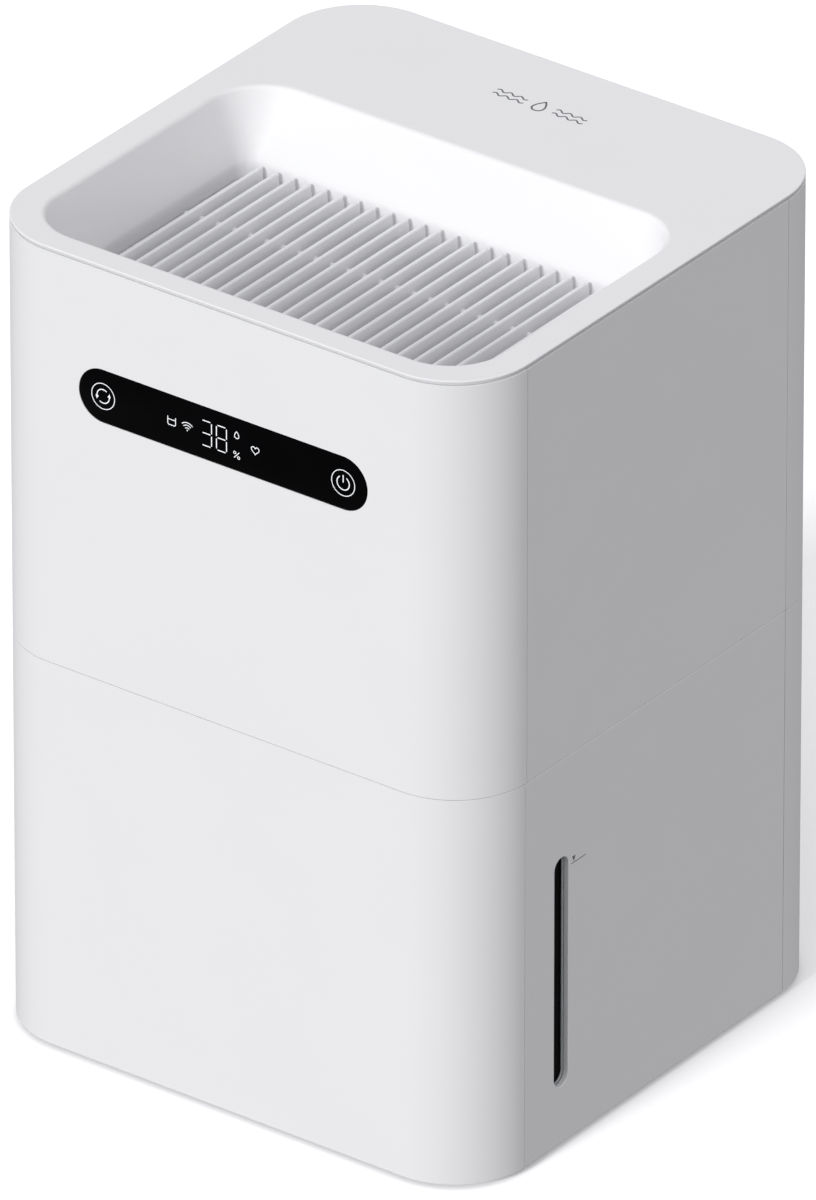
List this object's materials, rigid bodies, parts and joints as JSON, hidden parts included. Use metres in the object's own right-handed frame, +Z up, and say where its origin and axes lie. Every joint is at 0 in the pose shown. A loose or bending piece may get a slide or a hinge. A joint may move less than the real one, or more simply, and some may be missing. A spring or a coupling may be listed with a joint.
{
  "type": "evaporative humidifier",
  "caption": "Square free-standing evaporative room humidifier: water tank with a wheel of discs and a level window, lift-off body with pour-in basin, slatted air outlet, fan and display.",
  "frame": {"origin": "centre of the footprint on the floor, under the rubber feet", "axes": "+Z up, front face with the display towards -Y, side with the level window towards +X"},
  "size_m": [0.244, 0.242, 0.363],
  "materials": {
    "white_shell": "moulded, satin",
    "white_cover": "moulded, satin",
    "white_grille": "moulded, satin",
    "black_lens": "high gloss",
    "black_plastic": "fine texture",
    "rubber": "matt",
    "grey_plastic": "moulded",
    "reservoir_plastic": "smooth, slightly translucent",
    "pale_plastic": "moulded",
    "acetal": "smooth",
    "float_foam": "closed-cell foam",
    "magnet": "coated",
    "disc_plastic": "textured to hold water",
    "wheel_plastic": "moulded",
    "steel": "turned",
    "motor_steel": "drawn can",
    "impeller_plastic": "moulded",
    "copper_pad": "spring copper",
    "circuit_board": "solder mask",
    "digit_plastic": "moulded",
    "ribbon": "flat cable",
    "filter_plastic": "moulded",
    "filter_mesh": "woven nylon mesh"
  },
  "bodies": {
    "tank": {"feet": "rubber", "base_plate": "grey_plastic", "base_screws": "steel", "tank_front_shell": "white_shell", "tank_left_panel": "white_shell", "tank_right_panel": "white_shell", "tank_rear_shell": "white_shell", "tank_reservoir": "reservoir_plastic", "level_window": "black_lens", "window_seal": "rubber", "left_bearing": "acetal", "right_bearing": "acetal", "float_guide": "acetal"},
    "float": {"float": "float_foam", "float_magnet": "magnet"},
    "wheel": {"wheel_shaft": "steel", "evaporation_discs": "disc_plastic", "disc_spacers": "wheel_plastic", "wheel_end_plates": "wheel_plastic", "tie_rods": "steel", "wheel_gear": "acetal"},
    "upper": {"front_cover": "white_shell", "left_side_panel": "white_shell", "right_side_panel": "white_shell", "rear_cover": "white_shell", "top_cover": "white_cover", "body_seal": "rubber", "inner_frame": "pale_plastic", "fan_deck": "pale_plastic", "deck_screws": "steel", "fan_shroud": "grey_plastic", "motor_bracket": "grey_plastic", "fan_motor": "motor_steel", "fill_tray": "pale_plastic", "motor_cup": "grey_plastic", "drive_motor": "motor_steel", "shaft_seal": "rubber", "display_lens": "black_lens", "display_board": "circuit_board", "digit_module": "digit_plastic", "touch_pads": "copper_pad", "display_ribbon": "ribbon", "electronics_box": "grey_plastic", "electronics_lid": "grey_plastic", "main_board": "circuit_board", "power_supply": "circuit_board", "power_inlet": "black_plastic", "inlet_pins": "steel", "humidity_sensor": "circuit_board", "level_sensor": "acetal"},
    "fan": {"impeller": "impeller_plastic", "fan_shaft": "steel"},
    "pinion": {"drive_pinion": "acetal", "pinion_shaft": "steel"},
    "grille": {"outlet_grille": "white_grille"},
    "intake": {"intake_grille": "white_shell", "filter_frame": "filter_plastic", "filter_mesh": "filter_mesh"}
  },
  "joints": [
    {"name": "body_lift", "type": "slide", "parent": "tank", "child": "upper", "axis": [0, 0, 1], "range_m": [0, 0.15]},
    {"name": "wheel_spin", "type": "hinge", "parent": "tank", "child": "wheel", "pos_m": [0, 0, 0.132], "axis": [1, 0, 0], "continuous": true},
    {"name": "float_slide", "type": "slide", "parent": "tank", "child": "float", "axis": [0, 0, 1], "range_m": [0, 0.085]},
    {"name": "pinion_spin", "type": "hinge", "parent": "upper", "child": "pinion", "pos_m": [-0.0885, 0, 0.21], "axis": [1, 0, 0], "continuous": true},
    {"name": "fan_spin", "type": "hinge", "parent": "upper", "child": "fan", "pos_m": [0, -0.03385, 0.28], "axis": [0, 0, 1], "continuous": true},
    {"name": "grille_lift", "type": "slide", "parent": "upper", "child": "grille", "axis": [0, 0, 1], "range_m": [0, 0.06]},
    {"name": "intake_pull", "type": "slide", "parent": "upper", "child": "intake", "axis": [0, 1, 0], "range_m": [0, 0.03]}
  ],
  "couplings": [
    {"joint": "pinion_spin", "follows": "wheel_spin", "ratio": -3.3333}
  ]
}
